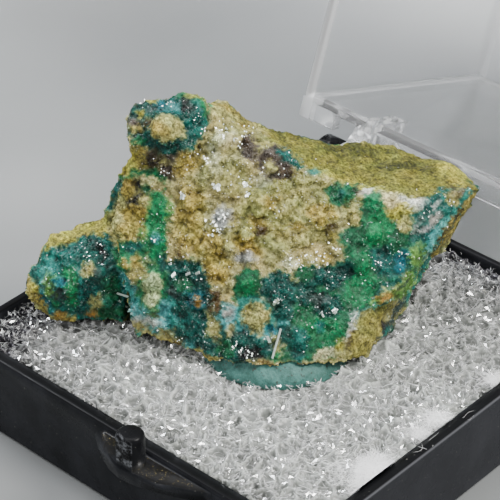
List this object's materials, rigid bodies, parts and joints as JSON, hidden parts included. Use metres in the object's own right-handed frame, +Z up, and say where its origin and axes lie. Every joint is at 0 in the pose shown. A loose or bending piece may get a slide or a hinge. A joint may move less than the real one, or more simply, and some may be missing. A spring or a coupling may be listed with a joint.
{
  "type": "boxed caledonite specimen",
  "caption": "Blue-green caledonite crust on a wedge of matrix, held with putty on foam in a small black display box with an open clear hinged lid.",
  "frame": {"origin": "centre of the square underside of the box", "axes": "+Z up, -Y towards the front with its thumb ledge, +Y towards the hinge, +X to the right seen from the front"},
  "size_m": [0.0318, 0.0717, 0.0399],
  "materials": {
    "black_plastic": "polished black moulded plastic with fine scratches and dust",
    "white_foam": "coarse open white foam with glinting cell walls",
    "blue_putty": "soft turquoise putty with a few dark specks",
    "mineral": "blue-green crystal crust over ochre and tan granular matrix",
    "clear_plastic": "clear polished moulded plastic"
  },
  "bodies": {
    "box": {"base_tray": "black_plastic", "foam_pad": "white_foam", "mounting_putty": "blue_putty", "specimen": "mineral"},
    "lid": {"lid": "clear_plastic"}
  },
  "joints": [
    {"name": "lid_hinge", "type": "hinge", "parent": "box", "child": "lid", "pos_m": [0, 0.01867, 0.00588], "axis": [1, 0, 0], "range_deg": [0, 110.2]}
  ]
}
